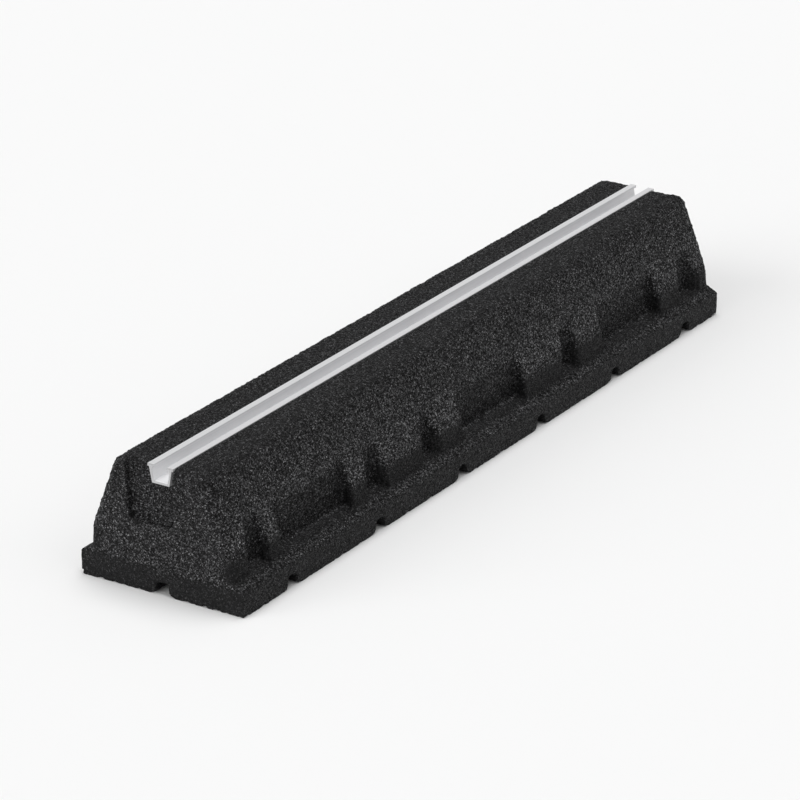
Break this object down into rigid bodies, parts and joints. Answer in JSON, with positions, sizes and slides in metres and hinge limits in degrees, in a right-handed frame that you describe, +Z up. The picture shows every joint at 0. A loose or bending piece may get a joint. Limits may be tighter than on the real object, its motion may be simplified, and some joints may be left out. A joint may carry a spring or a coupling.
{
  "type": "rubber support block",
  "caption": "Long trapezoidal crumb-rubber support block with a slotted aluminium bolt channel let into its top.",
  "frame": {"origin": "centre of the footprint, on the surface the block stands on", "axes": "+X along the block and its channel, +Z up out of the channel's slot, +Y across the block"},
  "size_m": [0.6, 0.125, 0.0875],
  "materials": {
    "crumb_rubber": "coarse matt bonded granules",
    "channel_aluminium": "satin mill finish",
    "screw_steel": "bright zinc"
  },
  "bodies": {
    "root": {"rubber_block": "crumb_rubber", "aluminium_channel": "channel_aluminium", "fixing_screws": "screw_steel"}
  },
  "joints": []
}
